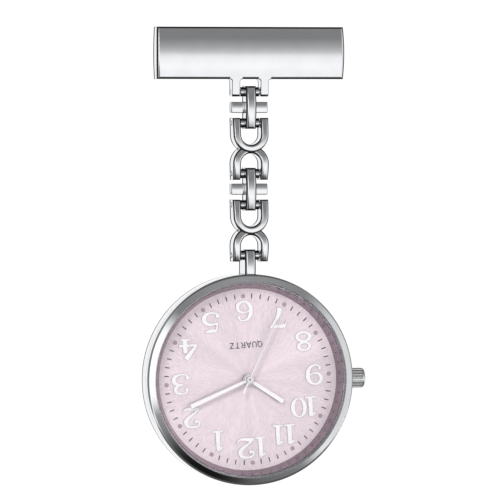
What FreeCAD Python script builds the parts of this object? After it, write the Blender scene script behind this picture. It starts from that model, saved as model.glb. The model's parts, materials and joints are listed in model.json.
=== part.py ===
import FreeCAD, Part
import math
import os

from FreeCAD import Vector

# Fob watch: a pin-backed bar brooch, a short hinged chain and a quartz watch hanging upside down,
# so that its wearer reads it the right way up. Millimetres. +Z is up, the front faces -Y, and the
# origin is the centre of the plane of the brooch's back rim.

# ---------------------------------------------------------------- driving dimensions
brooch_width = 32.1
brooch_height = 8.7
brooch_edge_depth = 2.4
brooch_crown = 0.5
brooch_end_bulge = 0.13
brooch_wall = 1.0
brooch_pocket_depth = 1.6
brooch_rounding = 0.5

chain_y = -1.3
link_back = chain_y + 1.2
bar_rounding = 0.5
link_rounding = 0.4
gap_half = 1.7
arm_half = 3.07
barrel_radius = 0.8
ear_half = 3.12
ear_gap_half = 1.76
pin_radius = 0.4
pin_hole_radius = 0.45
first_pin_z = -6.45
bar_spacing = 5.2
link_spacing = 8.4
pin_z = [first_pin_z]
for spacing in (bar_spacing, link_spacing, bar_spacing, link_spacing):
    pin_z.append(pin_z[-1] - spacing)

case_radius = 17.6
case_y = -0.15
case_z = -54.4
band_front = -2.15
band_back = 2.3
seam_w = -1.0
case_bore = 16.0
crystal_radius = 16.12
bezel_bore = 16.22
dial_top = -0.3
dial_back = 0.1
dial_radius = 15.8
dial_open_radius = 15.17
crystal_back = -2.0
crystal_front = -2.95
crystal_seat = -2.1
back_inside = 3.5
back_outside = 4.1
back_flat_radius = 13.8

dial_turn = 176.6
hours, minutes, seconds = 10, 11, 34.8
numeral_radius = 11.45
numeral_height = 3.35
numeral_thickness = 0.14
numeral_weight = 0.055
two_digit_places = {"10": (-1.25, 0.8), "11": (-1.0, 1.0), "12": (-1.5, 0.95)}
numeral_pulled_in = {"10": 0.8, "11": 0.25}
track_radius = 13.93
print_thickness = 0.03

movement_radius = 9.6
stem_w = 0.95
crown_radius = 1.68
crown_inner_u = 17.85
crown_outer_u = 20.2
crown_flutes = 20
case_tube_radius = 0.8

far = 40.0  # further than any piece reaches, for cutters that pass right through

os.makedirs("parts", exist_ok=True)


# ---------------------------------------------------------------- helpers
def save(node, shape):
    shape.exportStep("parts/" + node + ".step")


def save_in_case(node, shape):
    """Export a piece drawn about the case's axis: X right, Y towards the back, Z up."""
    moved = shape.copy()
    moved.translate(Vector(0, case_y, case_z))
    save(node, moved)


def front(u, v):
    return Vector(u, 0, v)


def side(y, z):
    return Vector(0, y, z)


def radial(r, w):
    return Vector(r, w, 0)


def closed_wire(path, place):
    """A closed wire. A step (u, v) is a straight line; ((u, v), (u, v)) is an arc's middle and end."""
    edges = []
    here = path[0]
    for step in path[1:] + path[:1]:
        if isinstance(step[0], tuple):
            middle, end = step
            edges.append(Part.Arc(place(*here), place(*middle), place(*end)).toShape())
        else:
            end = step
            if math.dist(here, end) > 1e-6:
                edges.append(Part.LineSegment(place(*here), place(*end)).toShape())
        here = end
    return Part.Wire(edges)


def plate(path, y_front, y_back):
    """Extrude an outline in the front plane, from y_front back to y_back."""
    face = Part.Face(closed_wire(path, front))
    face.translate(Vector(0, y_front, 0))
    return face.extrude(Vector(0, y_back - y_front, 0))


def slab(path, half_width):
    """Extrude an outline in the side plane across the middle."""
    face = Part.Face(closed_wire(path, side))
    face.translate(Vector(-half_width, 0, 0))
    return face.extrude(Vector(2 * half_width, 0, 0))


def turned(path):
    """Revolve a profile of (radius, depth) about the case's axis."""
    return Part.Face(closed_wire(path, radial)).revolve(Vector(0, 0, 0), Vector(0, 1, 0), 360)


def block(low, high):
    size = Vector(*high) - Vector(*low)
    return Part.makeBox(size.x, size.y, size.z, Vector(*low))


def rod_x(radius, x0, x1, y, z):
    return Part.makeCylinder(radius, x1 - x0, Vector(x0, y, z), Vector(1, 0, 0))


def disc(radius, w0, w1, u=0.0, v=0.0):
    """A cylinder along the case's axis direction."""
    return Part.makeCylinder(radius, w1 - w0, Vector(u, w0, v), Vector(0, 1, 0))


def hole(radius, u=0.0, v=0.0):
    """A cutter along the case's axis direction, right through."""
    return disc(radius, -far, far, u, v)


def cross_hole(radius, y, z=0.0):
    """A cutter along X, right through."""
    return rod_x(radius, -far, far, y, z)


def ring(outer, inner, w0, w1, u=0.0, v=0.0):
    return disc(outer, w0, w1, u, v).cut(hole(inner, u, v))


def join(shapes):
    return shapes[0].multiFuse(shapes[1:]).removeSplitter()


def soften_front(shape, radius):
    """Round the edges of the face that looks forward."""
    face = min(shape.Faces, key=lambda f: f.CenterOfMass.y)
    return shape.makeFillet(radius, face.Edges)


def depth_edges(shape):
    """The edges that run from front to back."""
    return [e for e in shape.Edges if abs(e.tangentAt(e.FirstParameter).y) > 0.9]


def polar(distance, degrees):
    """Point at a distance, at an angle counter-clockwise from the right, seen from the front."""
    angle = math.radians(degrees)
    return distance * math.cos(angle), distance * math.sin(angle)


# ---------------------------------------------------------------- brooch
def build_brooch_plate():
    w, h = brooch_width / 2, brooch_height / 2
    edge, middle = -brooch_edge_depth, -brooch_edge_depth - brooch_crown
    profile = [(0, -h), (edge, -h), ((middle, 0), (edge, h)), (0, h)]
    corner = w - brooch_end_bulge
    outline = [(-corner, -h), (corner, -h), ((w, 0), (corner, h)), (-corner, h), ((-w, 0), (-corner, -h))]
    body = slab(profile, w + 1).common(plate(outline, middle - 1, 1))
    body = soften_front(body, brooch_rounding)
    pocket_x, pocket_z, pocket_corner = corner - brooch_wall, h - brooch_wall, 0.6
    pocket = block((-pocket_x, -brooch_pocket_depth, -pocket_z), (pocket_x, 1, pocket_z))
    body = body.cut(pocket.makeFillet(pocket_corner, depth_edges(pocket)))
    return join([body, ear(1), ear(-1)]).cut(cross_hole(pin_radius, chain_y, pin_z[0]))


def ear(hand):
    """One of the two lugs under the plate, with small concave fillets where it leaves the plate."""
    root, top, bottom = -brooch_height / 2 + 0.6, -brooch_height / 2, pin_z[0] - 0.8
    inner, outer = hand * ear_gap_half, hand * ear_half
    fillet = 0.45
    inner_root, outer_root = inner - hand * fillet, outer + hand * fillet
    k = fillet * (1 - math.sqrt(0.5))
    outline = [
        (inner_root, root), (inner_root, top), ((inner - hand * k, top - k), (inner, top - fillet)),
        (inner, bottom), (outer, bottom), (outer, top - fillet),
        ((outer + hand * k, top - k), (outer_root, top)), (outer_root, root),
    ]
    front_y, corner, lean = chain_y - 1.0, 0.5, 0.2
    k = corner * (1 - math.sqrt(0.5))
    profile = [
        (front_y - lean, root), (front_y, bottom + corner), ((front_y + k, bottom + k), (front_y + corner, bottom)),
        (link_back - corner, bottom), ((link_back - k, bottom + k), (link_back, bottom + corner)),
        (link_back, root),
    ]
    lug = plate(outline, front_y - 1, link_back + 1).common(slab(profile, arm_half + 1))
    return soften_front(lug, 0.15)


# The pin's hinge, catch and stem lie on one line just behind the brooch's back plane.
needle_y = 0.6
hinge_x = 11.3
catch_x0, catch_x1 = -10.9, -8.3
needle_radius = 0.4
pin_rivet_radius = 0.3
catch_bore = 0.56
catch_radius = 0.95
collar_bore = 1.0
collar_radius = 1.4
strip_half_length, strip_half_height, strip_thickness = 12.5, 1.6, 0.4
cheek_radius, cheek_thickness, cheek_gap_half = 1.1, 0.4, 0.55
catch_foot_width = 0.6
pin_eye_radius, pin_eye_half = 0.85, 0.45


def slotted_tube(outer, inner, x0, x1, slot_half):
    """A tube along X about the needle's line, open towards the back."""
    tube = rod_x(outer, x0, x1, needle_y, 0).cut(cross_hole(inner, needle_y))
    return tube.cut(block((x0 - 1, needle_y, -slot_half), (x1 + 1, needle_y + 2 * outer, slot_half)))


def rod_z(radius, x, z0, z1, y=needle_y):
    """An upright cylinder, on the needle's line unless it is given another depth."""
    return Part.makeCylinder(radius, z1 - z0, Vector(x, y, z0), Vector(0, 0, 1))


def build_pin_base():
    """The strip in the plate's pocket, with the hinge's two cheeks and the catch."""
    floor = -brooch_pocket_depth
    strip_top = floor + strip_thickness
    low = (-strip_half_length, floor, -strip_half_height)
    pieces = [block(low, (strip_half_length, strip_top, strip_half_height))]
    for z0 in (-cheek_gap_half - cheek_thickness, cheek_gap_half):
        z1 = z0 + cheek_thickness
        pieces.append(block((hinge_x - cheek_radius, floor, z0), (hinge_x + cheek_radius, needle_y, z1)))
        pieces.append(rod_z(cheek_radius, hinge_x, z0, z1))
    pieces.append(slotted_tube(catch_radius, catch_bore, catch_x0, catch_x1, 0.5))
    for x0 in (catch_x0, catch_x1 - catch_foot_width):
        foot = block((x0, floor, -0.6), (x0 + catch_foot_width, needle_y - 0.2, 0.6))
        pieces.append(foot.cut(cross_hole(catch_bore, needle_y)))
    return join(pieces).cut(rod_z(pin_rivet_radius, hinge_x, -far, far))


def build_pin_stem():
    eye = rod_z(pin_eye_radius, hinge_x, -pin_eye_half, pin_eye_half)
    shank_end, tip_x, tip_radius = -7.4, catch_x0 - 0.35, 0.08
    shank = rod_x(needle_radius, shank_end, hinge_x - 0.5, needle_y, 0)
    tip = Part.makeCone(
        needle_radius, tip_radius, shank_end - tip_x, Vector(shank_end, needle_y, 0), Vector(-1, 0, 0))
    return join([eye, shank, tip]).cut(rod_z(pin_rivet_radius + 0.04, hinge_x, -far, far))


def build_pin_hinge_rivet():
    half = cheek_gap_half + cheek_thickness + 0.03
    return rod_z(pin_rivet_radius, hinge_x, -half, half)


def build_catch_collar():
    """The turning collar that closes the catch, with a thumb tab."""
    x0, x1 = catch_x0 + 0.7, catch_x1 - 0.7
    collar = slotted_tube(collar_radius, collar_bore, x0, x1, 0.62)
    tab_end, tab_half = -2.5, 0.35
    tab_low = (x0 + 0.2, needle_y - tab_half, tab_end)
    tab = block(tab_low, (x1 - 0.2, needle_y + tab_half, -collar_radius + 0.15))
    return join([collar, tab.makeFillet(0.15, [e for e in tab.Edges if e.CenterOfMass.z < tab_end + 0.1])])


# ---------------------------------------------------------------- chain
barrel_half = gap_half - 0.1


def chain_pin(z):
    return rod_x(pin_radius, -arm_half - 0.03, arm_half + 0.03, chain_y, z)


def build_cross_link(upper):
    """An upright bar with a hinge barrel at each end and a crossbar half way down."""
    lower = upper - bar_spacing
    centre = (upper + lower) / 2
    bar_half, overhang = 0.9, 0.97
    end_y, crest_y = chain_y - 1.35, chain_y - 1.95
    top, bottom = upper + overhang, lower - overhang
    profile = [(link_back, top), (link_back, bottom), (end_y, bottom), ((crest_y, centre), (end_y, top))]
    bar = soften_front(slab(profile, bar_half), bar_rounding)
    half, edge_y, back_y = 0.925, chain_y - 0.25, chain_y + 1.1
    profile = [
        (back_y, centre + half), (back_y, centre - half), (edge_y, centre - half),
        ((edge_y - 0.12, centre), (edge_y, centre + half)),
    ]
    crossbar = slab(profile, arm_half + 0.03)
    crossbar = crossbar.makeFillet(0.15, crossbar.Edges)
    barrels = [rod_x(barrel_radius, -barrel_half, barrel_half, chain_y, z) for z in (upper, lower)]
    link = join([bar, crossbar] + barrels)
    for z in (upper, lower):
        link = link.cut(cross_hole(pin_hole_radius, chain_y, z))
    return link


def build_double_link(upper):
    """A U that hangs on the upper pin, grown into an inverted U that carries the lower pin."""
    lower = upper - link_spacing
    upper_arc, lower_arc = upper - 1.9, lower + 1.65
    top, bottom = upper + 0.87, lower - 1.05
    reach = 3.2
    outer = arm_half - 0.07
    front_y = chain_y - 3
    u_shape = plate([
        (-arm_half, top), (-outer, upper_arc), ((0, upper_arc - outer), (outer, upper_arc)), (arm_half, top),
        (gap_half, top), (gap_half, upper_arc), ((0, upper_arc - gap_half), (-gap_half, upper_arc)),
        (-gap_half, top),
    ], front_y, link_back)
    u_end, u_crest, u_foot = chain_y - 1.2, chain_y - 1.7, chain_y - 1.65
    u_profile = slab([
        (link_back, top), (link_back, upper_arc - reach), (u_foot, upper_arc - reach),
        ((u_crest, upper_arc), (u_end, top)),
    ], arm_half + 1)
    arch = plate([
        (-outer, bottom), (-arm_half, lower_arc), ((0, lower_arc + arm_half), (arm_half, lower_arc)),
        (outer, bottom), (gap_half, bottom), (gap_half, lower_arc),
        ((0, lower_arc + gap_half), (-gap_half, lower_arc)), (-gap_half, bottom),
    ], front_y, link_back)
    arch_end, arch_crest = chain_y - 1.15, chain_y - 1.7
    arch_profile = slab([
        (link_back, lower_arc + reach), (link_back, bottom), (arch_end, bottom),
        ((arch_crest, (lower_arc + reach + bottom) / 2), (arch_end, lower_arc + reach)),
    ], arm_half + 1)
    u_part = soften_front(u_shape.common(u_profile), link_rounding)
    arch_part = soften_front(arch.common(arch_profile), link_rounding)
    link = join([u_part, arch_part])
    for z in (upper, lower):
        link = link.cut(cross_hole(pin_radius, chain_y, z))
    return link


# ---------------------------------------------------------------- case
back_seat_radius = 16.95
back_seat_depth = 0.5
fit_gap = 0.02
lug_half = 0.93


def build_case_middle():
    body = turned([
        (case_bore, seam_w), (case_radius, seam_w), (case_radius, band_back - 0.25),
        ((case_radius - 0.07, band_back - 0.07), (case_radius - 0.25, band_back)),
        (back_seat_radius, band_back), (back_seat_radius, band_back - back_seat_depth),
        (case_bore, band_back - back_seat_depth),
    ])
    body = body.cut(rod_x(case_tube_radius, 0, far, stem_w, 0))
    pin_v = pin_z[4] - case_z
    pin_w = chain_y - case_y
    barrel = rod_x(barrel_radius, -barrel_half, barrel_half, pin_w, pin_v)
    return join([body, case_lug(pin_w, pin_v), barrel]).cut(cross_hole(pin_hole_radius, pin_w, pin_v))


def case_lug(pin_w, pin_v):
    """The rounded bar that rises from the band, over the last chain pin, cut clear of the bezel."""
    foot, heel_w, top = case_radius - 0.35, band_back - 0.05, pin_v + 0.97
    profile = [
        (pin_w - 1.2, foot), ((pin_w - 1.3, pin_v - 1.3), (pin_w - 0.95, top)), (pin_w + 0.5, top),
        ((pin_w + 1.05, pin_v + 0.6), (pin_w + 1.25, pin_v - 0.2)), (pin_w + 1.3, pin_v - 0.85),
        (heel_w - 0.35, pin_v - 0.95), ((heel_w - 0.1, pin_v - 1.05), (heel_w, pin_v - 1.3)), (heel_w, foot),
    ]
    bezel_room = turned([(0, -far), (case_radius, -far), (case_radius, seam_w), (0, seam_w)])
    return soften_front(slab(profile, lug_half), bar_rounding).cut(bezel_room)


def build_bezel_ring():
    """A polished ring: a gentle slope outwards from a crest beside the crystal, then a rounded corner."""
    crest, shoulder = (bezel_bore + 0.12, -2.85), (17.2, -2.55)
    corner, outer_edge = (17.49, -2.36), (case_radius, -2.05)
    return turned([
        (case_bore, seam_w), (case_bore, crystal_seat),
        (bezel_bore, crystal_seat), (bezel_bore, crest[1] + 0.14), crest,
        shoulder, (corner, outer_edge), (case_radius, seam_w),
    ])


def build_crystal():
    bevel, plug_radius = 0.22, case_bore - fit_gap
    return turned([
        (0, crystal_back), (plug_radius, crystal_back), (plug_radius, crystal_seat),
        (crystal_radius, crystal_seat), (crystal_radius, crystal_front + bevel),
        (crystal_radius - bevel, crystal_front), (0, crystal_front),
    ])


def build_crystal_gasket():
    return ring(bezel_bore, crystal_radius, crystal_front + 0.5, crystal_seat)


def build_flange_ring():
    """The sloping ring between the dial's edge and the crystal."""
    top, outer = crystal_back + 0.03, case_bore - 0.03
    return turned([(dial_open_radius, dial_top), (outer - 0.05, top), (outer, top), (outer, dial_top)])


def build_case_back():
    """A pressed-in back: a rim that enters the case, a sloping shoulder and a flat centre."""
    rim_outer, rim_inner, lip_radius = 16.6, 16.0, 17.2
    lip_w = band_back + fit_gap
    return turned([
        (0, back_inside), (13.6, back_inside), (15.9, band_back + 0.45), (rim_inner, band_back - 0.5),
        (rim_outer, band_back - 0.5), (rim_outer, lip_w), (lip_radius, lip_w),
        ((17.15, band_back + 0.35), (16.9, band_back + 0.6)), (15.2, back_outside - 0.35),
        ((14.5, back_outside - 0.08), (back_flat_radius, back_outside)), (0, back_outside),
    ])


# ---------------------------------------------------------------- crown and setting work
stem_radius = 0.45
crown_thread = 1.7
crown_recess_radius = 1.15


def build_crown():
    """A fluted knob, hollow at its inner end, with a blind bore for the stem."""
    crown = rod_x(crown_radius, crown_inner_u, crown_outer_u, stem_w, 0)
    rims = sorted((e for e in crown.Edges if e.Closed), key=lambda e: e.CenterOfMass.x)
    outer_rounding, inner_bevel, flute_radius = 0.4, 0.25, 0.19
    crown = crown.makeFillet(outer_rounding, [rims[-1]])
    rims = sorted((e for e in crown.Edges if e.Closed), key=lambda e: e.CenterOfMass.x)
    crown = crown.makeChamfer(inner_bevel, [rims[0]])
    for i in range(crown_flutes):
        y, z = polar(crown_radius + 0.04, 360 / crown_flutes * i)
        crown = crown.cut(rod_x(flute_radius, 0, crown_outer_u - outer_rounding, stem_w + y, z))
    recess = rod_x(crown_recess_radius, 0, crown_inner_u + 0.9, stem_w, 0)
    socket = rod_x(stem_radius, crown_inner_u, crown_inner_u + crown_thread, stem_w, 0)
    return crown.cut(recess).cut(socket)


stem_groove_u = 6.4
stem_inner_u = 3.9
stem_shoulder_u = 5.7
square_half = 0.3


def build_setting_stem():
    """The winding stem: thread end, lever groove, square and inner pilot."""
    groove_half, groove_radius = 0.28, 0.17
    stem = rod_x(stem_radius, stem_shoulder_u - 0.1, crown_inner_u + crown_thread, stem_w, 0)
    pilot = rod_x(0.2, stem_inner_u - 0.4, stem_inner_u + 0.2, stem_w, 0)
    square = block((stem_inner_u, stem_w - square_half, -square_half),
                   (stem_shoulder_u, stem_w + square_half, square_half))
    groove = rod_x(1, stem_groove_u - groove_half, stem_groove_u + groove_half, stem_w, 0)
    return join([stem, square, pilot]).cut(groove.cut(cross_hole(groove_radius, stem_w)))


def build_sliding_pinion():
    """The clutch wheel on the stem's square: face teeth towards the crown, contrate teeth inwards."""
    u0, u1, radius, waist_radius, teeth = 4.25, 5.45, 0.72, 0.5, 8
    bore = square_half + 0.03
    waist = rod_x(1, u0 + 0.5, u0 + 0.8, stem_w, 0).cut(cross_hole(waist_radius, stem_w))
    body = rod_x(radius, u0, u1, stem_w, 0).cut(waist)
    body = body.cut(block((0, stem_w - bore, -bore), (far, stem_w + bore, bore)))
    for i in range(teeth):
        y, z = polar(radius, 360 / teeth * i)
        body = body.cut(rod_x(0.12, 0, u0 + 0.3, stem_w + y, z))
        body = body.cut(rod_x(0.09, u1 - 0.2, far, stem_w + y, z))
    return body


lever_arm = 2.4
stem_travel = 0.7
lever_peg = (stem_groove_u, -0.36)
lever_pivot = (stem_groove_u + stem_travel / 2, lever_peg[1] - lever_arm)
lever_w, lever_thickness = 1.75, 0.18
lever_post_radius = 0.3


def build_setting_lever():
    """The lever whose peg sits in the stem's groove, so that it tips when the stem is pulled."""
    (pu, pv), (u, v) = lever_pivot, lever_peg
    angle = math.atan2(v - pv, u - pu)
    half = 0.3
    du, dv = -math.sin(angle) * half, math.cos(angle) * half
    back_w = lever_w + lever_thickness
    arm = plate([(pu + du, pv + dv), (pu - du, pv - dv), (u - du, v - dv), (u + du, v + dv)], lever_w, back_w)
    hub = disc(0.62, lever_w, back_w, pu, pv)
    head = disc(0.32, lever_w, back_w, u, v)
    peg = disc(0.11, stem_w - 0.1, lever_w, u, v)
    return join([arm, hub, head, peg]).cut(hole(lever_post_radius + 0.04, pu, pv))


def build_case_tube():
    return rod_x(case_tube_radius, 15.6, 18.5, stem_w, 0).cut(cross_hole(stem_radius + 0.1, stem_w))


def build_crown_gasket():
    u0, u1 = crown_inner_u + 0.05, crown_inner_u + 0.4
    return rod_x(crown_recess_radius, u0, u1, stem_w, 0).cut(cross_hole(case_tube_radius + 0.03, stem_w))


# ---------------------------------------------------------------- dial and print
def clock(shape, degrees):
    """Turn a piece drawn with 12 o'clock up to a clock angle on the turned dial."""
    turned_shape = shape.copy()
    turned_shape.rotate(Vector(0, 0, 0), Vector(0, 1, 0), dial_turn + degrees)
    return turned_shape


def on_dial(shape, degrees, radius):
    """Place an upright glyph at a clock angle, upright in the dial's own frame."""
    angle = math.radians(degrees)
    placed = shape.copy()
    placed.translate(Vector(radius * math.sin(angle), 0, radius * math.cos(angle)))
    return clock(placed, 0)


def spline(points):
    curve = Part.BSplineCurve()
    curve.interpolate(points)
    return curve.toShape()


def stroke(points, scale, thick):
    """A pen stroke of varying width through (x, y, width) points, in units of the numeral's height."""
    left, right = [], []
    for i, (x, y, width) in enumerate(points):
        ax, ay, _ = points[max(i - 1, 0)]
        bx, by, _ = points[min(i + 1, len(points) - 1)]
        length = math.hypot(bx - ax, by - ay)
        nx, ny = -(by - ay) / length * width / 2, (bx - ax) / length * width / 2
        left.append(Vector((x + nx) * scale, 0, (y + ny) * scale))
        right.append(Vector((x - nx) * scale, 0, (y - ny) * scale))
    right.reverse()
    join_line = spline if len(points) > 2 else Part.makePolygon
    sides = [join_line(left), Part.makePolygon([left[-1], right[0]]),
             join_line(right), Part.makePolygon([right[-1], left[0]])]
    edges = [e for s in sides for e in s.Edges]
    return Part.Face(Part.Wire(edges)).extrude(Vector(0, -thick, 0))


def ball(x, y, radius, scale, thick):
    return Part.makeCylinder(radius * scale, thick, Vector(x * scale, 0, y * scale), Vector(0, -1, 0))


def oval(x, y, rx, ry, scale, thick):
    """An ellipse as a solid."""
    centre = Vector(x * scale, 0, y * scale)
    across, upwards = centre + Vector(rx * scale, 0, 0), centre + Vector(0, 0, ry * scale)
    long_end, short_end = (upwards, across) if ry >= rx else (across, upwards)
    curve = Part.Ellipse(long_end, short_end, centre)
    return Part.Face(Part.Wire([curve.toShape()])).extrude(Vector(0, -thick, 0))


def digit_pieces(digit):
    """Strokes (lists of x, y, width), balls (x, y, radius) and ovals (outer and inner) of one numeral."""
    one = [[(0, 0.02, 0.19), (0, 0.98, 0.17)], [(0.05, 0.95, 0.12), (-0.26, 0.8, 0.04)],
           [(-0.28, 0.025, 0.05), (0.28, 0.025, 0.05)]]
    six = [[(0.3, 0.83, 0.05), (0.18, 0.955, 0.05), (-0.02, 0.965, 0.06), (-0.24, 0.83, 0.13),
            (-0.35, 0.5, 0.18), (-0.28, 0.2, 0.15), (0.0, 0.03, 0.06), (0.25, 0.13, 0.13),
            (0.33, 0.32, 0.16)],
           [(0.29, 0.2, 0.12), (0.33, 0.33, 0.15), (0.21, 0.53, 0.1), (0.0, 0.58, 0.05),
            (-0.26, 0.47, 0.05)]]
    two = [[(-0.18, 0.68, 0.05), (-0.35, 0.76, 0.07), (-0.29, 0.9, 0.07), (0.0, 0.965, 0.07),
            (0.27, 0.88, 0.14), (0.33, 0.7, 0.18), (0.17, 0.48, 0.13), (-0.14, 0.27, 0.07),
            (-0.36, 0.07, 0.05)],
           [(-0.4, 0.07, 0.13), (-0.08, 0.08, 0.14), (0.2, 0.05, 0.1), (0.4, 0.12, 0.05)],
           [(0.375, 0.07, 0.05), (0.44, 0.26, 0.03)]]
    three = [[(-0.31, 0.8, 0.05), (-0.23, 0.93, 0.05), (0.0, 0.97, 0.06), (0.26, 0.89, 0.13),
              (0.3, 0.74, 0.16), (0.16, 0.58, 0.09), (-0.1, 0.54, 0.05)],
             [(-0.1, 0.54, 0.05), (0.18, 0.51, 0.09), (0.36, 0.38, 0.17), (0.32, 0.16, 0.15),
              (0.03, 0.03, 0.06), (-0.24, 0.06, 0.05), (-0.37, 0.18, 0.05)]]
    four = [[(0.15, 1.0, 0.24), (-0.43, 0.33, 0.07)], [(-0.46, 0.315, 0.07), (0.44, 0.315, 0.07)],
            [(0.42, 0.39, 0.04), (0.42, 0.24, 0.04)], [(0.15, 0.7, 0.18), (0.15, 0.02, 0.19)],
            [(-0.1, 0.025, 0.05), (0.38, 0.025, 0.05)]]
    five = [[(-0.27, 0.94, 0.11), (0.05, 0.93, 0.13), (0.34, 0.99, 0.05)],
            [(-0.25, 0.96, 0.05), (-0.31, 0.52, 0.05)],
            [(-0.32, 0.54, 0.05), (-0.08, 0.61, 0.07), (0.2, 0.57, 0.13), (0.36, 0.36, 0.18),
             (0.28, 0.14, 0.15), (0.0, 0.03, 0.06), (-0.23, 0.06, 0.05), (-0.36, 0.17, 0.05)]]
    seven = [[(-0.36, 0.93, 0.14), (0.0, 0.925, 0.14), (0.45, 0.96, 0.07)],
             [(-0.34, 0.97, 0.06), (-0.4, 0.73, 0.04)],
             [(0.41, 0.95, 0.06), (0.15, 0.66, 0.09), (-0.03, 0.36, 0.16), (-0.1, 0.0, 0.22)]]
    return {
        "0": ([], [], [((0, 0.5, 0.42, 0.5), (0, 0.5, 0.2, 0.41))]),
        "1": (one, [], []),
        "2": (two, [(-0.2, 0.7, 0.1)], []),
        "3": (three, [(-0.28, 0.79, 0.1), (-0.34, 0.2, 0.105)], []),
        "4": (four, [], []),
        "5": (five, [(-0.33, 0.2, 0.105)], []),
        "6": (six, [(0.28, 0.81, 0.095)], []),
        "7": (seven, [], []),
        "8": ([], [], [((0, 0.275, 0.43, 0.29), (0.015, 0.27, 0.225, 0.16)),
                       ((0, 0.755, 0.37, 0.255), (-0.015, 0.755, 0.19, 0.13))]),
        "9": (six, [(0.28, 0.81, 0.095)], []),
    }[digit]


def numeral(digit, thick):
    """One solid numeral of the given digit, standing on z = 0 and centred on x = 0."""
    strokes, balls, ovals = digit_pieces(digit)
    scale = numeral_height
    pieces = [stroke([(x, y, width + numeral_weight) for x, y, width in points], scale, thick)
              for points in strokes]
    pieces += [ball(*spot, scale, thick) for spot in balls]
    pieces += [oval(*outer, scale, thick) for outer, _ in ovals]
    shape = join(pieces) if len(pieces) > 1 else pieces[0]
    for _, inner in ovals:
        shape = shape.cut(oval(*inner, scale, thick))
    if digit == "9":
        shape.rotate(Vector(0, 0, scale / 2), Vector(0, 1, 0), 180)
    return shape


def build_hour_numerals():
    solids = []
    for hour in range(1, 13):
        text = str(hour)
        first_x, last_x = two_digit_places.get(text, (0, 0))
        for digit, x in zip(text, (first_x, last_x)):
            glyph = numeral(digit, numeral_thickness)
            glyph.translate(Vector(x, dial_top, -numeral_height / 2))
            solids += on_dial(glyph, 30 * hour, numeral_radius - numeral_pulled_in.get(text, 0)).Solids
    return Part.makeCompound(solids)


def build_hour_dots():
    dots = []
    for hour in range(12):
        dot = disc(0.36, dial_top - 0.05, dial_top)
        dots.append(on_dial(dot, 30 * hour, track_radius))
    return Part.makeCompound(dots)


def build_minute_ticks():
    ticks = []
    for minute in range(60):
        if minute % 5:
            tick = block((-0.085, dial_top - print_thickness, -0.4), (0.085, dial_top, 0.4))
            tick.translate(Vector(0, 0, track_radius))
            ticks.append(clock(tick, 6 * minute))
    return Part.makeCompound(ticks)


def build_dial_text():
    """The plain word QUARTZ, in thin upright capitals between the hands and the 6."""
    height, pen = 1.0, 0.15
    letters = [
        ("Q", [[(0.58, 0.2), (0.9, -0.08)]]),
        ("U", [[(0.1, 1.0), (0.1, 0.3)], [(0.7, 1.0), (0.7, 0.3)]]),
        ("A", [[(0.02, 0), (0.4, 1.0)], [(0.4, 1.0), (0.78, 0)], [(0.15, 0.33), (0.65, 0.33)]]),
        ("R", [[(0.1, 0), (0.1, 1.0)], [(0.38, 0.5), (0.72, 0)]]),
        ("T", [[(0.05, 0.93), (0.75, 0.93)], [(0.4, 0.93), (0.4, 0)]]),
        ("Z", [[(0.08, 0.93), (0.72, 0.93)], [(0.7, 0.93), (0.1, 0.07)], [(0.08, 0.07), (0.75, 0.07)]]),
    ]
    solids = []
    advance = 0.97
    for i, (name, lines) in enumerate(letters):
        pieces = [stroke([(x, y, pen) for x, y in line], height, print_thickness) for line in lines]
        if name == "Q":
            bowl = oval(0.42, 0.5, 0.42, 0.5, height, print_thickness)
            pieces.append(bowl.cut(oval(0.42, 0.5, 0.29, 0.38, height, print_thickness)))
        if name == "U":
            bowl = oval(0.4, 0.36, 0.375, 0.36, height, print_thickness)
            bowl = bowl.cut(oval(0.4, 0.36, 0.225, 0.23, height, print_thickness))
            pieces.append(bowl.common(block((-1, -1, -1), (2, 1, 0.36))))
        if name == "R":
            bowl = oval(0.36, 0.74, 0.33, 0.26, height, print_thickness)
            bowl = bowl.cut(oval(0.34, 0.74, 0.19, 0.15, height, print_thickness))
            pieces.append(bowl.common(block((0.1, -1, 0), (2, 1, 2))))
        letter = join(pieces)
        letter.translate(Vector((i - 2.5) * advance - 0.4, dial_top, -height / 2))
        solids += on_dial(letter, 180, 5.75).Solids
    return Part.makeCompound(solids)


def build_dial():
    return disc(dial_radius, dial_top, dial_back).cut(hole(hour_tube_radius + 0.2))


# ---------------------------------------------------------------- hands
hour_angle = 30 * hours + 0.5 * (minutes + seconds / 60)
minute_angle = 6 * (minutes + seconds / 60)
second_angle = 6 * seconds
hour_w, minute_w, second_w = -0.9, -1.25, -1.52
cannon_bore, cannon_radius = 0.3, 0.5
hour_tube_bore, hour_tube_radius = 0.55, 0.75
seconds_arbor = 0.25
hand_thickness = 0.15


def baton(length, root, tip, w0, w1):
    """A flat tapering bar pointing up, from the hub outwards."""
    return plate([(-root / 2, 0), (-tip / 2, length), (tip / 2, length), (root / 2, 0)], w0, w1)


def build_hour_hand():
    w0, w1 = hour_w, hour_w + hand_thickness
    hand = join([baton(7.05, 0.6, 0.76, w0, w1), disc(0.96, w0, w1)])
    return clock(hand.cut(hole(hour_tube_radius)), hour_angle)


def build_minute_hand():
    w0, w1 = minute_w, minute_w + hand_thickness
    hand = join([baton(10.9, 0.5, 0.8, w0, w1), disc(0.78, w0, w1)])
    return clock(hand.cut(hole(cannon_radius)), minute_angle)


def build_second_hand():
    """A needle with a counterweight tail and a hub that stands a little proud."""
    w0, w1 = second_w, second_w + 0.1
    tail = baton(-2.6, 0.22, 0.4, w0, w1)
    hub = disc(0.48, w0 - 0.18, w1)
    hand = join([baton(11.0, 0.26, 0.16, w0, w1), tail, hub])
    return clock(hand.cut(hole(seconds_arbor)), second_angle)


# ---------------------------------------------------------------- gear train
addendum = 0.7
arbor_back = 3.05


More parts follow.
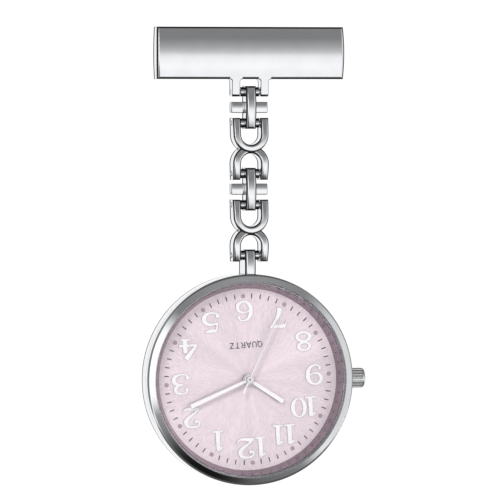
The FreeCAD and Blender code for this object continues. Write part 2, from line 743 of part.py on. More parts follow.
class Gear:
    """Spur gear teeth about one centre; phase is where one tooth's middle points, in degrees."""

    def __init__(self, teeth, module, centre, phase=0.0):
        self.teeth, self.module, self.centre, self.phase = teeth, module, centre, phase
        self.radius = teeth * module / 2

    def solid(self, w0, w1):
        pitch = 360 / self.teeth
        tip, root = self.radius + addendum * self.module, self.radius - self.module
        path = []
        for i in range(self.teeth):
            middle = self.phase + i * pitch
            corners = [(root, -0.25), (tip, -0.11), (tip, 0.11), (root, 0.25)]
            path += [polar(r, middle + share * pitch) for r, share in corners]
        shape = plate(path, w0, w1)
        shape.translate(Vector(self.centre[0], 0, self.centre[1]))
        return shape

    def mesh_with(self, teeth, module, centre):
        """The gear that meshes with this one: its gap meets this one's tooth near the line of centres."""
        toward = math.degrees(math.atan2(centre[1] - self.centre[1], centre[0] - self.centre[0]))
        lag = (toward - self.phase) % (360 / self.teeth)
        phase = toward + 180 + lag * self.teeth / teeth + 180 / teeth
        return Gear(teeth, module, centre, phase)


middle = (0.0, 0.0)
third_module = 7.2 / 68
third_centre = polar(3.6, 60)
intermediate_centre = polar(2.64, 160)
rotor_centre = tuple(a + b for a, b in zip(intermediate_centre, polar(2.1, 150)))
minute_wheel_centre = polar(2.4, -35)

rotor_pinion = Gear(6, 0.1, rotor_centre)
intermediate_wheel = rotor_pinion.mesh_with(36, 0.1, intermediate_centre)
intermediate_pinion = Gear(8, 0.11, intermediate_centre)
seconds_wheel = intermediate_pinion.mesh_with(40, 0.11, middle)
seconds_pinion = Gear(8, third_module, middle)
third_wheel = seconds_pinion.mesh_with(60, third_module, third_centre)
third_pinion = Gear(8, 0.1, third_centre)
centre_wheel = third_pinion.mesh_with(64, 0.1, middle)
cannon_pinion = Gear(12, 0.1, middle)
minute_wheel = cannon_pinion.mesh_with(36, 0.1, minute_wheel_centre)
minute_pinion = Gear(10, 0.096, minute_wheel_centre)
hour_wheel = minute_pinion.mesh_with(40, 0.096, middle)

floor_front, plate_back = 0.8, 1.3
bridge_front, bridge_back = 2.85, 3.15
lower_bridge_front, lower_bridge_back = 1.68, 1.86
minute_post_radius = 0.22
rotor_arbor_radius = 0.1
screw_shank_radius = 0.25


def spoked(gear, w0, w1, hub, spokes):
    """A wheel with crossed-out windows between its hub and rim."""
    wheel = gear.solid(w0, w1)
    inner, outer = hub + 0.25, gear.radius - 1.6 * gear.module - 0.12
    if outer - inner < 0.3:
        return wheel
    u, v = gear.centre
    windows = ring(outer, inner, w0 - 1, w1 + 1, u, v)
    for i in range(spokes):
        arm = block((0, w0 - 2, -0.14), (gear.radius, w1 + 2, 0.14))
        arm.rotate(Vector(0, 0, 0), Vector(0, 1, 0), 360 / spokes * i)
        arm.translate(Vector(u, 0, v))
        windows = windows.cut(arm)
    return wheel.cut(windows)


def build_hour_wheel():
    w0, w1 = 0.22, 0.40
    return join([hour_wheel.solid(w0, w1), disc(hour_tube_radius, hour_w, w1)]).cut(hole(hour_tube_bore))


def build_centre_wheel():
    """The centre wheel, its long cannon tube with the cannon pinion, and the minute hand's seat."""
    wheel = spoked(centre_wheel, 1.42, 1.58, 0.5, 4)
    tube = disc(cannon_radius, minute_w, 1.58)
    pinion = cannon_pinion.solid(0.46, 0.76)
    return join([wheel, tube, pinion]).cut(hole(cannon_bore))


def build_minute_wheel():
    u, v = minute_wheel_centre
    wheel = spoked(minute_wheel, 0.5, 0.68, 0.45, 3)
    return join([wheel, minute_pinion.solid(0.2, 0.5)]).cut(hole(minute_post_radius + 0.02, u, v))


def build_third_wheel():
    u, v = third_centre
    wheel = spoked(third_wheel, 1.95, 2.1, 0.4, 4)
    arbor = disc(0.15, 0.95, arbor_back, u, v)
    return join([wheel, third_pinion.solid(1.38, 1.95), arbor])


def build_seconds_wheel():
    wheel = spoked(seconds_wheel, 2.3, 2.45, 0.5, 4)
    arbor = disc(seconds_arbor, second_w + 0.02, 2.45)
    pivot = disc(0.12, 2.4, arbor_back)
    return join([wheel, seconds_pinion.solid(1.9, 2.3), arbor, pivot])


def build_intermediate_wheel():
    u, v = intermediate_centre
    wheel = spoked(intermediate_wheel, 2.55, 2.7, 0.35, 3)
    arbor = disc(0.13, 1.72, arbor_back, u, v)
    return join([wheel, intermediate_pinion.solid(2.0, 2.55), arbor])


def build_rotor_pinion():
    u, v = rotor_centre
    arbor = disc(rotor_arbor_radius, 0.95, arbor_back, u, v)
    return join([rotor_pinion.solid(2.5, 2.75), disc(0.3, 2.35, 2.5, u, v), arbor])


def build_rotor_magnet():
    u, v = rotor_centre
    return ring(0.75, rotor_arbor_radius, 1.55, 2.35, u, v)


# ---------------------------------------------------------------- movement
battery_centre = (0.85, -6.25)
battery_radius, battery_back = 2.9, 3.1
coil_u, coil_v0, coil_v1, coil_w = -7.0, -3.6, 3.4, 2.1
core_low, core_high = coil_v0 - 0.9, coil_v1 + 0.9
core_half, core_half_depth, tab_width = 0.35, 0.25, 0.8
can_start, can_w = (7.5, 0.6), 2.15
bridge_posts = [polar(6.9, 95), polar(7.0, 33), (-3.9, -3.9)]
lower_bridge_feet = [polar(4.1, degrees) for degrees in (75, 130, 200, 230)]


def build_main_plate():
    """The brass plate that carries the movement: pockets in both faces, posts, feet and bearings."""
    lever_u, lever_v = lever_pivot
    post_root = plate_back - 0.1
    cuts = [
        disc(4.3, 0, floor_front), hole(cannon_radius + 0.06),
        disc(battery_radius + 0.1, 1.0, far, *battery_centre),
        rod_x(stem_radius + 0.05, 5.5, far, stem_w, 0),
        block((3.4, 0.05, -0.85), (5.9, far, 0.85)),
        block((lever_u - 1.2, 0.5, lever_v + 1.76), (lever_u + 1.0, far, lever_v + 2.76)),
        disc(0.17, 0.5, far, *third_centre), disc(0.12, 0.5, far, *rotor_centre),
        rod_z(1.05, coil_u, coil_v0 - 0.2, coil_v1 + 0.2, coil_w),
    ]
    base = disc(movement_radius, dial_back + fit_gap, plate_back)
    for cut in cuts:
        base = base.cut(cut)
    posts = [disc(0.55, post_root, bridge_front, *post) for post in bridge_posts]
    posts.append(disc(minute_post_radius, 0.22, floor_front + 0.05, *minute_wheel_centre))
    posts.append(disc(lever_post_radius, post_root, lever_w + 0.4, *lever_pivot))
    posts += [disc(0.4, post_root, lower_bridge_front, *spot) for spot in lower_bridge_feet]
    plate_shape = join([base] + posts)
    for post in bridge_posts:
        plate_shape = plate_shape.cut(disc(screw_shank_radius, 1.9, far, *post))
    return plate_shape


def build_centre_wheel_bridge():
    """A thin bridge over the centre wheel, cut away for the battery, the rotor and the arbors."""
    cuts = [
        block((1.5, 0, -6), (6, 3, 0.9)), hole(battery_radius + 0.15, *battery_centre),
        hole(0.6, *third_centre), hole(seconds_arbor + 0.06), hole(0.15, *intermediate_centre),
        hole(1.5, *rotor_centre),
    ]
    bridge = disc(4.5, lower_bridge_front, lower_bridge_back)
    for cut in cuts:
        bridge = bridge.cut(cut)
    return bridge


def build_train_bridge():
    """The bridge over the gear train, with a pivot hole for each arbor and a screw at each foot."""
    outline = [(-5.7, -3.4), (-4.7, -4.8), (-3.1, -4.8), (-1.6, -2.5), (3.0, -2.1), (3.6, 0.4), (6.7, 2.7),
               (6.7, 4.7), (1.2, 7.9), (-2.2, 7.9), (-5.6, 4.2)]
    bridge = plate(outline, bridge_front, bridge_back)
    bridge = bridge.makeFillet(0.5, depth_edges(bridge))
    pivots = [(middle, 0.15), (third_centre, 0.18), (intermediate_centre, 0.16), (rotor_centre, 0.13)]
    for spot, radius in pivots + [(post, screw_shank_radius + fit_gap) for post in bridge_posts]:
        bridge = bridge.cut(hole(radius, *spot))
    return bridge


def build_bridge_screws():
    head_radius, head_height, slot_half = 0.55, 0.22, 0.06
    screws = []
    for u, v in bridge_posts:
        head = disc(head_radius, bridge_back, bridge_back + head_height, u, v)
        shank = disc(screw_shank_radius, 1.95, bridge_back, u, v)
        slot = block((u - 1, bridge_back + head_height - 0.1, v - slot_half), (u + 1, far, v + slot_half))
        screws.append(join([head, shank]).cut(slot))
    return Part.makeCompound(screws)


def build_coil_core():
    """The coil's iron core, whose end tabs lie on the stator."""
    u0, w0, w1 = coil_u - core_half, coil_w - core_half_depth, coil_w + core_half_depth
    pieces = [block((u0, w0, core_low), (coil_u + core_half, w1, core_high))]
    for v0 in (core_low, core_high - tab_width):
        pieces.append(block((u0, w0, v0), (coil_u + 1.1, w1, v0 + tab_width)))
    return join(pieces)


def build_coil_winding():
    core_low_corner = (coil_u - core_half, coil_w - core_half_depth, -far)
    core = block(core_low_corner, (coil_u + core_half, coil_w + core_half_depth, far))
    return rod_z(0.95, coil_u, coil_v0, coil_v1, coil_w).cut(core)


def build_stator():
    """A soft-iron strip beside the coil, with an eye round the rotor and a tab under each end of the core."""
    u, v = rotor_centre
    w1 = coil_w - core_half_depth
    w0 = w1 - 0.35
    strip_u0, strip_u1 = -5.75, -4.8
    pieces = [block((strip_u0, w0, core_low), (strip_u1, w1, core_high)), disc(1.4, w0, w1, u, v)]
    for v0 in (core_low, core_high - tab_width):
        pieces.append(block((coil_u + 0.1, w0, v0), (strip_u1, w1, v0 + tab_width)))
    return join(pieces).cut(hole(0.95, u, v)).cut(hole(3.45))


def build_circuit_board():
    """A sickle-shaped board that fills the upper right of the movement."""
    w0, thickness = plate_back + fit_gap, 0.18
    board = ring(movement_radius - 0.3, 5.0, w0, w0 + thickness)
    board = board.cut(block((-far, 0, -far), (0, far, far))).cut(block((0, 0, -far), (far, far, 1.0)))
    for post in bridge_posts:
        board = board.cut(hole(0.65, *post))
    return board


def build_quartz_can():
    """The crystal oscillator's can with its two leads."""
    u, v = can_start
    leads = [rod_z(0.09, u + d, v - 0.5, v, can_w) for d in (-0.25, 0.25)]
    return join([rod_z(0.65, u, v, v + 4.2, can_w)] + leads)


def build_battery():
    """A button cell: the wide positive can and the smaller negative cap."""
    can = disc(battery_radius, 1.35, battery_back, *battery_centre)
    cap = disc(battery_radius - 0.55, 1.05, 1.35, *battery_centre)
    cell = join([can, cap])
    rim = [e for e in cell.Edges if e.Closed and abs(e.CenterOfMass.y - battery_back) < 0.01]
    return cell.makeFillet(0.2, rim)


def build_battery_clamp():
    """A strap over the cell with a leg down to the plate at each end."""
    u, v = battery_centre
    reach, strap_half, leg_half, metal = battery_radius + 0.4, 0.7, 0.5, 0.15
    w0 = battery_back + fit_gap
    strap = block((u - reach, w0, v - strap_half), (u + reach, w0 + metal, v + strap_half))
    legs = [block((x, plate_back, v - leg_half), (x + metal, w0 + metal, v + leg_half))
            for x in (u - reach, u + reach - metal)]
    return join([strap] + legs)


def build_casing_ring():
    """The plastic ring that centres the movement in the case."""
    body = turned([
        (movement_radius + 0.1, dial_back + fit_gap), (15.9, dial_back + fit_gap),
        (15.9, 1.7), (15.2, 2.4), (13.2, 3.3), (movement_radius + 0.1, 3.3),
    ])
    stem_way = rod_x(0.6, 0, far, stem_w, 0)
    tube_way = rod_x(case_tube_radius + 0.1, 15.3, far, stem_w, 0)
    return body.cut(stem_way).cut(tube_way)


def build_case_back_gasket():
    return ring(back_seat_radius, 16.62, band_back - 0.48, band_back)


# ---------------------------------------------------------------- export
save("brooch_plate", build_brooch_plate())
save("pin_base", build_pin_base())
save("pin_hinge_rivet", build_pin_hinge_rivet())
save("pin_stem", build_pin_stem())
save("catch_collar", build_catch_collar())
for number, z in enumerate(pin_z, 1):
    save("chain_pin_%d" % number, chain_pin(z))
save("upper_cross_link", build_cross_link(pin_z[0]))
save("upper_double_link", build_double_link(pin_z[1]))
save("lower_cross_link", build_cross_link(pin_z[2]))
save("lower_double_link", build_double_link(pin_z[3]))

save_in_case("case_middle", build_case_middle())
save_in_case("bezel_ring", build_bezel_ring())
save_in_case("crystal", build_crystal())
save_in_case("crystal_gasket", build_crystal_gasket())
save_in_case("flange_ring", build_flange_ring())
save_in_case("case_back", build_case_back())
save_in_case("case_back_gasket", build_case_back_gasket())
save_in_case("casing_ring", build_casing_ring())
save_in_case("case_tube", build_case_tube())

save_in_case("crown", build_crown())
save_in_case("crown_gasket", build_crown_gasket())
save_in_case("setting_stem", build_setting_stem())
save_in_case("sliding_pinion", build_sliding_pinion())
save_in_case("setting_lever", build_setting_lever())

save_in_case("dial", build_dial())
save_in_case("hour_numerals", build_hour_numerals())
save_in_case("hour_dots", build_hour_dots())
save_in_case("minute_ticks", build_minute_ticks())
save_in_case("dial_text", build_dial_text())
save_in_case("hour_hand", build_hour_hand())
save_in_case("minute_hand", build_minute_hand())
save_in_case("second_hand", build_second_hand())

save_in_case("hour_wheel", build_hour_wheel())
save_in_case("centre_wheel", build_centre_wheel())
save_in_case("minute_wheel", build_minute_wheel())
save_in_case("third_wheel", build_third_wheel())
save_in_case("seconds_wheel", build_seconds_wheel())
save_in_case("intermediate_wheel", build_intermediate_wheel())
save_in_case("rotor_pinion", build_rotor_pinion())
save_in_case("rotor_magnet", build_rotor_magnet())

save_in_case("main_plate", build_main_plate())
save_in_case("centre_wheel_bridge", build_centre_wheel_bridge())
save_in_case("train_bridge", build_train_bridge())
save_in_case("bridge_screws", build_bridge_screws())
save_in_case("stator", build_stator())
save_in_case("coil_core", build_coil_core())
save_in_case("coil_winding", build_coil_winding())
save_in_case("circuit_board", build_circuit_board())
save_in_case("quartz_can", build_quartz_can())
save_in_case("battery", build_battery())
save_in_case("battery_clamp", build_battery_clamp())
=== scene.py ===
import json
import math

import bpy
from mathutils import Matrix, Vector


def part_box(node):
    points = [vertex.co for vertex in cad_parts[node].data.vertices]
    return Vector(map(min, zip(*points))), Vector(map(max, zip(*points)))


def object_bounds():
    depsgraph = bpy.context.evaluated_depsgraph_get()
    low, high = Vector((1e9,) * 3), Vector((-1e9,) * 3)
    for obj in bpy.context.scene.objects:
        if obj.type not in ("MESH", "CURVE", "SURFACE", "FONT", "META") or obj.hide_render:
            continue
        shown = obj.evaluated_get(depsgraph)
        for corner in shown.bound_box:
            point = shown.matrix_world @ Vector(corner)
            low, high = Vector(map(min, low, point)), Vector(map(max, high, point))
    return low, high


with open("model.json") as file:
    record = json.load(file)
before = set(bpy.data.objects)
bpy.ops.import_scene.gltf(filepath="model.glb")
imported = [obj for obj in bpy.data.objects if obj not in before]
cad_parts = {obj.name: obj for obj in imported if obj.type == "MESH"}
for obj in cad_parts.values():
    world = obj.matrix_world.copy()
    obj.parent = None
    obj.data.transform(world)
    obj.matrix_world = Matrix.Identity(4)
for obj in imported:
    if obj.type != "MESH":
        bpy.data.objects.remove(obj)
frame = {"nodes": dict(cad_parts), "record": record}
cad_low, cad_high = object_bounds()

MM = 0.001
nodes = frame["nodes"]


# ---------------------------------------------------------------- material helper
def add_node(tree, kind, inputs=None, **settings):
    """Add a node; an input given as an output socket is linked, any other value is stored."""
    made = tree.nodes.new(kind)
    for name, value in settings.items():
        setattr(made, name, value)
    for name, value in (inputs or {}).items():
        if isinstance(value, bpy.types.NodeSocket):
            tree.links.new(value, made.inputs[name])
        else:
            made.inputs[name].default_value = value
    return made


class Look:
    """A procedural material: a Principled shader with short ways to feed its sockets."""

    def __init__(self, name, colour, metallic=0.0, roughness=0.5, **sockets):
        self.material = bpy.data.materials.new(name)
        self.material.use_nodes = True
        self.tree = self.material.node_tree
        self.shader = self.tree.nodes["Principled BSDF"]
        self.set("Base Color", (*colour, 1.0))
        self.set("Metallic", metallic)
        self.set("Roughness", roughness)
        for socket, value in sockets.items():
            self.set(socket.replace("_", " "), value)

    def set(self, socket, value):
        """A number is stored on the shader's socket; an output socket is linked to it."""
        if isinstance(value, bpy.types.NodeSocket):
            self.tree.links.new(value, self.shader.inputs[socket])
        else:
            self.shader.inputs[socket].default_value = value

    def node(self, kind, inputs=None, **settings):
        return add_node(self.tree, kind, inputs, **settings)

    def place(self, centre=(0, 0, 0), stretch=(1, 1, 1)):
        """The row frame's coordinates from a centre, stretched, in metres."""
        coordinate = self.node("ShaderNodeTexCoord").outputs["Object"]
        moved = self.vector_math("SUBTRACT", coordinate, tuple(centre)).outputs[0]
        return self.vector_math("MULTIPLY", moved, tuple(stretch)).outputs[0]

    def vector_math(self, operation, a, b):
        return self.node("ShaderNodeVectorMath", {0: a, 1: b}, operation=operation)

    def math(self, operation, a, b=0.0):
        return self.node("ShaderNodeMath", {0: a, 1: b}, operation=operation).outputs[0]

    def noise(self, scale, detail=3.0, where=None, rough=0.55):
        where = where or self.place()
        settings = {"Vector": where, "Scale": scale, "Detail": detail, "Roughness": rough}
        return self.node("ShaderNodeTexNoise", settings).outputs["Fac"]

    def spread(self, value, low, high, start=0.3, end=0.7):
        """Map a 0..1 pattern onto the range low..high."""
        made = self.node("ShaderNodeMapRange", {
            "Value": value, "From Min": start, "From Max": end, "To Min": low, "To Max": high})
        return made.outputs["Result"]

    def step(self, value, low, high, start, end):
        """The same, held at low and high outside the pattern's range."""
        mapped = self.spread(value, low, high, start, end)
        return self.node("ShaderNodeClamp", {0: mapped}).outputs[0]

    def blend(self, factor, first, second):
        made = self.node("ShaderNodeMix", data_type="RGBA")
        for index, value in ((0, factor), (6, first), (7, second)):
            if isinstance(value, bpy.types.NodeSocket):
                self.tree.links.new(value, made.inputs[index])
            elif index == 0:
                made.inputs[index].default_value = value
            else:
                made.inputs[index].default_value = (*value, 1.0)
        return made.outputs[2]

    def rounded(self, radius):
        """The surface's direction, turned gradually over the given width beside every edge."""
        return self.node("ShaderNodeBevel", {"Radius": radius}, samples=6).outputs["Normal"]

    def bump(self, height, depth, normal=None):
        """Relief of the given depth in metres."""
        inputs = {"Height": height, "Distance": depth, "Strength": 1.0}
        if normal:
            inputs["Normal"] = normal
        self.set("Normal", self.node("ShaderNodeBump", inputs).outputs["Normal"])

    def polar(self, centre):
        """Angle (-0.5..0.5 of a turn) and radius in metres about an axis along Y through centre."""
        split = self.node("ShaderNodeSeparateXYZ", {0: self.place(centre)})
        x, z = split.outputs["X"], split.outputs["Z"]
        angle = self.math("MULTIPLY", self.math("ARCTAN2", z, x), 1 / math.tau)
        squares = self.math("ADD", self.math("MULTIPLY", x, x), self.math("MULTIPLY", z, z))
        return angle, self.math("SQRT", squares)

    def vector(self, x=0.0, y=0.0, z=0.0):
        return self.node("ShaderNodeCombineXYZ", {"X": x, "Y": y, "Z": z}).outputs[0]


# ---------------------------------------------------------------- materials
def centre_of(node):
    low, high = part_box(node)
    return (low + high) / 2


case_centre = centre_of("dial")


def painted_edge_lines(look, back):
    """Painted shade: dark lines where the front rounds into the sides, and in a narrow band of them
    at the back.

    The limits are those of the direction's Y, where -1 faces the front and 0 a side.
    """
    leaving_front, reaching_side, side_ends = (-0.93, -0.82), (-0.34, -0.18), (0.3, 0.7)
    band, fade = 0.5 * MM, 0.3 * MM
    normal = look.node("ShaderNodeNewGeometry").outputs["Normal"]
    turn = look.node("ShaderNodeSeparateXYZ", {0: normal}).outputs["Y"]
    depth = look.node("ShaderNodeSeparateXYZ", {0: look.place()}).outputs["Y"]
    off_front = look.step(turn, 0, 1, *leaving_front)
    off_side = look.step(turn, 1, 0, *reaching_side)
    rounding = look.math("MULTIPLY", off_front, off_side)
    sideways = look.step(look.math("ABSOLUTE", turn), 1, 0, *side_ends)
    near_back = look.step(depth, 0, 0.9, back - band - fade, back - band)
    # Painted shade on the rounding and on the sides near the back.
    return look.math("MAXIMUM", rounding, look.math("MULTIPLY", sideways, near_back))


def faded(colour, share):
    return tuple(c * share for c in colour)


def chrome(name, colour=(0.84, 0.85, 0.87), roughness=0.05, wave=0.35, edge=0.12, edge_shade_width=0.22,
           back=None):
    """Polished plate: soft waviness, wipe marks, a few dull patches, and painted shade: dark lines
    along sharp edges, in colour and reflection tint.

    With back, in metres along Y, the rounded front edges and the sides near the back get the same
    painted shade.
    """
    look = Look(name, colour, metallic=1.0)
    normal = look.node("ShaderNodeNewGeometry").outputs["Normal"]
    facing = look.vector_math("DOT_PRODUCT", look.rounded(edge_shade_width * MM), normal).outputs["Value"]
    # Painted shade: sharp edges are darkened, standing in for dark reflections.
    painted_edge_shade = look.step(facing, 1, 0, 0.8, 0.94)
    if back is not None:
        painted_edge_shade = look.math("MAXIMUM", painted_edge_shade, painted_edge_lines(look, back))
    patches = look.noise(320, 4)
    wipes = look.noise(1.0, 2, look.place(stretch=(900, 900, 9000)))
    dull = look.math("ADD", look.spread(patches, 0, 0.03), look.spread(wipes, 0, 0.03))
    look.set("Roughness", look.math("ADD", dull, roughness))
    plate = look.blend(look.spread(patches, 0, 1), colour, faded(colour, 0.94))
    # The painted edge shade darkens the colour and the reflection's tint.
    look.set("Base Color", look.blend(painted_edge_shade, plate, faded(colour, 0.15)))
    look.set("Specular Tint", look.blend(painted_edge_shade, (1, 1, 1), (0.1, 0.1, 0.1)))
    swell = look.noise(160, 1)
    waves, scratches = look.math("MULTIPLY", swell, wave), look.math("MULTIPLY", wipes, 0.012)
    look.bump(look.math("ADD", waves, scratches), 0.06 * MM, look.rounded(edge * MM))
    return look.material


def brushed(name, colour, roughness, across, depth=0.004, metallic=1.0):
    """Fine parallel graining; across has a large number along the axis that the lines cross."""
    look = Look(name, colour, metallic=metallic)
    lines = look.noise(1.0, 4, look.place(stretch=across), 0.65)
    cloud = look.noise(400, 3)
    grain, haze = look.spread(lines, -0.07, 0.07), look.spread(cloud, roughness, roughness + 0.06)
    look.set("Roughness", look.math("ADD", grain, haze))
    look.set("Base Color", look.blend(look.spread(lines, 0, 1), colour, faded(colour, 0.8)))
    look.bump(lines, depth * MM)
    return look.material


def turned_metal(name, colour, roughness, centre, pitch=0.12, depth=0.004):
    """Metal with circular graining about an axis along Y."""
    look = Look(name, colour, metallic=1.0)
    angle, radius = look.polar(centre)
    outwards = look.math("MULTIPLY", radius, 1000 / pitch)
    round_about = look.math("MULTIPLY", angle, 5.0)
    rings = look.noise(1.0, 4, look.vector(outwards, round_about), 0.6)
    cloud = look.noise(500, 3)
    grain, haze = look.spread(rings, -0.06, 0.06), look.spread(cloud, roughness, roughness + 0.07)
    look.set("Roughness", look.math("ADD", grain, haze))
    look.set("Base Color", look.blend(look.spread(rings, 0, 1), colour, faded(colour, 0.82)))
    look.bump(rings, depth * MM)
    return look.material


def plastic(name, colour, roughness, grain=2500, depth=0.01, vary=0.9, **sockets):
    """Moulded or printed surface: mottled colour and a fine orange peel."""
    look = Look(name, colour, roughness=roughness, **sockets)
    grains = look.noise(grain, 4)
    cloud = look.noise(350, 3)
    look.set("Base Color", look.blend(look.spread(cloud, 0, 1), colour, faded(colour, vary)))
    look.set("Roughness", look.spread(grains, roughness - 0.06, roughness + 0.08))
    look.bump(grains, depth * MM)
    return look.material


def sunray_dial(name, colour, grey):
    """Metallic lacquer over radial graining, which fans out from the dial's centre; the colour's
    fine streaks are graining, its broad light and dark sectors a painted sheen.
    """
    look = Look(name, colour, metallic=0.1, roughness=0.34, Coat_Weight=0.5, Coat_Roughness=0.08)
    angle, radius = look.polar(case_centre)
    turn = look.math("MULTIPLY", angle, math.tau)
    outwards = look.math("MULTIPLY", radius, 12.0)
    round_trip = look.vector(look.math("COSINE", turn), look.math("SINE", turn), outwards)
    fine = look.noise(90.0, 4, round_trip, 0.7)
    # Painted sheen: broad light and dark sectors, mixed into the colour with the fine graining.
    painted_sheen = look.noise(3.2, 2, round_trip)
    grain_and_sheen = look.math("ADD", look.math("MULTIPLY", fine, 0.7), look.math("MULTIPLY", painted_sheen, 0.3))
    look.set("Base Color", look.blend(look.spread(grain_and_sheen, 0, 1, 0.4, 0.6), colour, grey))
    look.set("Roughness", look.spread(fine, 0.28, 0.4))
    look.bump(fine, 0.012 * MM)
    return look.material


def gloss_paint(name, colour, edge, rim_shade_width=0.05):
    """Glossy lacquer whose edges and sides carry a dark line of painted shade."""
    look = Look(name, colour, roughness=0.25, Coat_Weight=0.4, Coat_Roughness=0.1)
    softened, front = look.rounded(rim_shade_width * MM), (0, -1, 0)
    facing = look.vector_math("DOT_PRODUCT", softened, front).outputs["Value"]
    mottle = look.noise(1800, 3)
    # Painted shade: a dark line along the edges and sides.
    painted_rim_shade = look.spread(facing, 1, 0, 0.8, 0.99)
    look.set("Base Color", look.blend(look.math("MINIMUM", painted_rim_shade, 1.0), colour, edge))
    look.set("Roughness", look.spread(mottle, 0.2, 0.32))
    look.bump(mottle, 0.004 * MM)
    return look.material


def crystal_glass(name):
    """Clear mineral glass: see-through, with a small share of mirror reflection and faint smears."""
    look = Look(name, (1, 1, 1))
    look.tree.nodes.remove(look.shader)
    smears = look.noise(1.0, 3, look.place(stretch=(200, 200, 600)))
    clear = look.node("ShaderNodeBsdfTransparent", {"Color": (0.985, 0.98, 0.985, 1)})
    haze = look.spread(smears, 0.0, 0.05)
    mirror = look.node("ShaderNodeBsdfAnisotropic", {"Color": (1, 1, 1, 1), "Roughness": haze})
    straight_on = 0.04
    facing = look.node("ShaderNodeLayerWeight", {"Blend": 0.5}).outputs["Facing"]
    grazing = look.math("MULTIPLY", look.math("POWER", facing, 5.0), 1.0 - straight_on)
    share = look.math("ADD", grazing, straight_on)
    mixed = look.node("ShaderNodeMixShader", {0: share, 1: clear.outputs[0], 2: mirror.outputs[0]})
    look.tree.links.new(mixed.outputs[0], look.tree.nodes["Material Output"].inputs["Surface"])
    return look.material


def wound_copper(name):
    """Enamelled wire laid turn beside turn."""
    look = Look(name, (0.55, 0.2, 0.08), metallic=0.7, roughness=0.3, Coat_Weight=0.6)
    turns = look.node("ShaderNodeTexWave", {
        "Vector": look.place(), "Scale": 2200.0, "Distortion": 0.6,
        "Detail": 1.0, "Detail Scale": 2.0}, wave_type="BANDS", bands_direction="Z")
    fac = turns.outputs["Fac"]
    look.set("Base Color", look.blend(fac, (0.28, 0.09, 0.03), (0.72, 0.3, 0.13)))
    look.bump(fac, 0.04 * MM)
    return look.material


def circuit(name):
    """Green solder mask over copper tracks."""
    look = Look(name, (0.03, 0.2, 0.09), roughness=0.3, Coat_Weight=0.4)
    tracks = look.node("ShaderNodeTexBrick", {
        "Vector": look.place(stretch=(1, 1, 1)), "Scale": 420.0, "Mortar Size": 0.03,
        "Color1": (0, 0, 0, 1), "Color2": (0, 0, 0, 1), "Mortar": (1, 1, 1, 1)})
    weave = look.noise(4000, 2)
    mask = look.blend(look.spread(weave, 0, 1), (0.02, 0.16, 0.07), (0.04, 0.24, 0.11))
    look.set("Base Color", look.blend(tracks.outputs["Fac"], mask, (0.14, 0.33, 0.14)))
    look.bump(tracks.outputs["Fac"], 0.03 * MM)
    return look.material


looks = {
    "polished_chrome": chrome("polished_chrome"),
    "chain_chrome": chrome("chain_chrome", back=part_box("upper_cross_link")[1].y),
    "case_chrome": chrome("case_chrome", back=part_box("case_middle")[1].y),
    "brooch_chrome": chrome("brooch_chrome", back=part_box("brooch_plate")[1].y),
    "crown_chrome": chrome("crown_chrome", (0.96, 0.965, 0.97), wave=0.1, edge=0.05, edge_shade_width=0.03),
    "nickel_plate": brushed("nickel_plate", (0.62, 0.6, 0.56), 0.24, (600, 9000, 9000)),
    "spring_steel": brushed("spring_steel", (0.6, 0.61, 0.63), 0.16, (600, 9000, 9000), 0.002),
    "brushed_back_steel": turned_metal(
        "brushed_back_steel", (0.62, 0.62, 0.64), 0.22, case_centre, 0.16),
    "crystal_glass": crystal_glass("crystal_glass"),
    "gasket_rubber": plastic("gasket_rubber", (0.03, 0.027, 0.03), 0.55),
    "gasket_nylon": plastic("gasket_nylon", (0.3, 0.28, 0.3), 0.4),
    "flange_mauve": turned_metal("flange_mauve", (0.36, 0.27, 0.33), 0.2, case_centre, 0.4, 0.002),
    "dial_pink": sunray_dial("dial_pink", (0.96, 0.825, 0.875), (0.74, 0.64, 0.68)),
    # The third colour of each gloss paint is its painted edge shade.
    "numeral_white": gloss_paint("numeral_white", (0.97, 0.96, 0.97), (0.14, 0.11, 0.13), 0.11),
    "dot_mauve": gloss_paint("dot_mauve", (0.42, 0.3, 0.36), (0.25, 0.14, 0.2), 0.12),
    "print_dark": plastic("print_dark", (0.025, 0.004, 0.014), 0.45, 4000, 0.003),
    "text_grey": plastic("text_grey", (0.03, 0.028, 0.034), 0.45, 4000, 0.003),
    "hand_white": gloss_paint("hand_white", (0.96, 0.95, 0.96), (0.12, 0.11, 0.12), 0.09),
    "casing_plastic": plastic("casing_plastic", (0.7, 0.7, 0.67), 0.5, 1500, 0.02),
    "plate_brass": brushed("plate_brass", (0.66, 0.5, 0.25), 0.26, (9000, 900, 600)),
    "screw_steel": brushed("screw_steel", (0.6, 0.6, 0.62), 0.22, (600, 600, 9000)),
    "rotor_plastic": plastic("rotor_plastic", (0.05, 0.05, 0.06), 0.4),
    "magnet_grey": plastic("magnet_grey", (0.08, 0.08, 0.09), 0.35, 3000, 0.01, 0.7, Metallic=0.6),
    "soft_iron": brushed("soft_iron", (0.35, 0.35, 0.36), 0.34, (9000, 600, 900)),
    "coil_copper": wound_copper("coil_copper"),
    "board_green": circuit("board_green"),
}

# Nodes shown with another look than that of their slot.
own_looks = {
    "crystal_gasket": "gasket_nylon", "seconds_wheel": "spring_steel",
    "crown": "crown_chrome", "brooch_plate": "brooch_chrome", "case_middle": "case_chrome",
    "upper_cross_link": "chain_chrome", "lower_cross_link": "chain_chrome",
    "upper_double_link": "chain_chrome", "lower_double_link": "chain_chrome",
}

for part in frame["record"]["subparts"]:
    node, slot = part["node"], part["material_slot"]
    if node in own_looks:
        material = looks[own_looks[node]]
    elif slot == "gear_brass":
        material = turned_metal("brass_" + node, (0.68, 0.5, 0.22), 0.2, centre_of(node), 0.05)
    else:
        material = looks[slot]
    mesh = nodes[node].data
    mesh.materials.clear()
    mesh.materials.append(material)


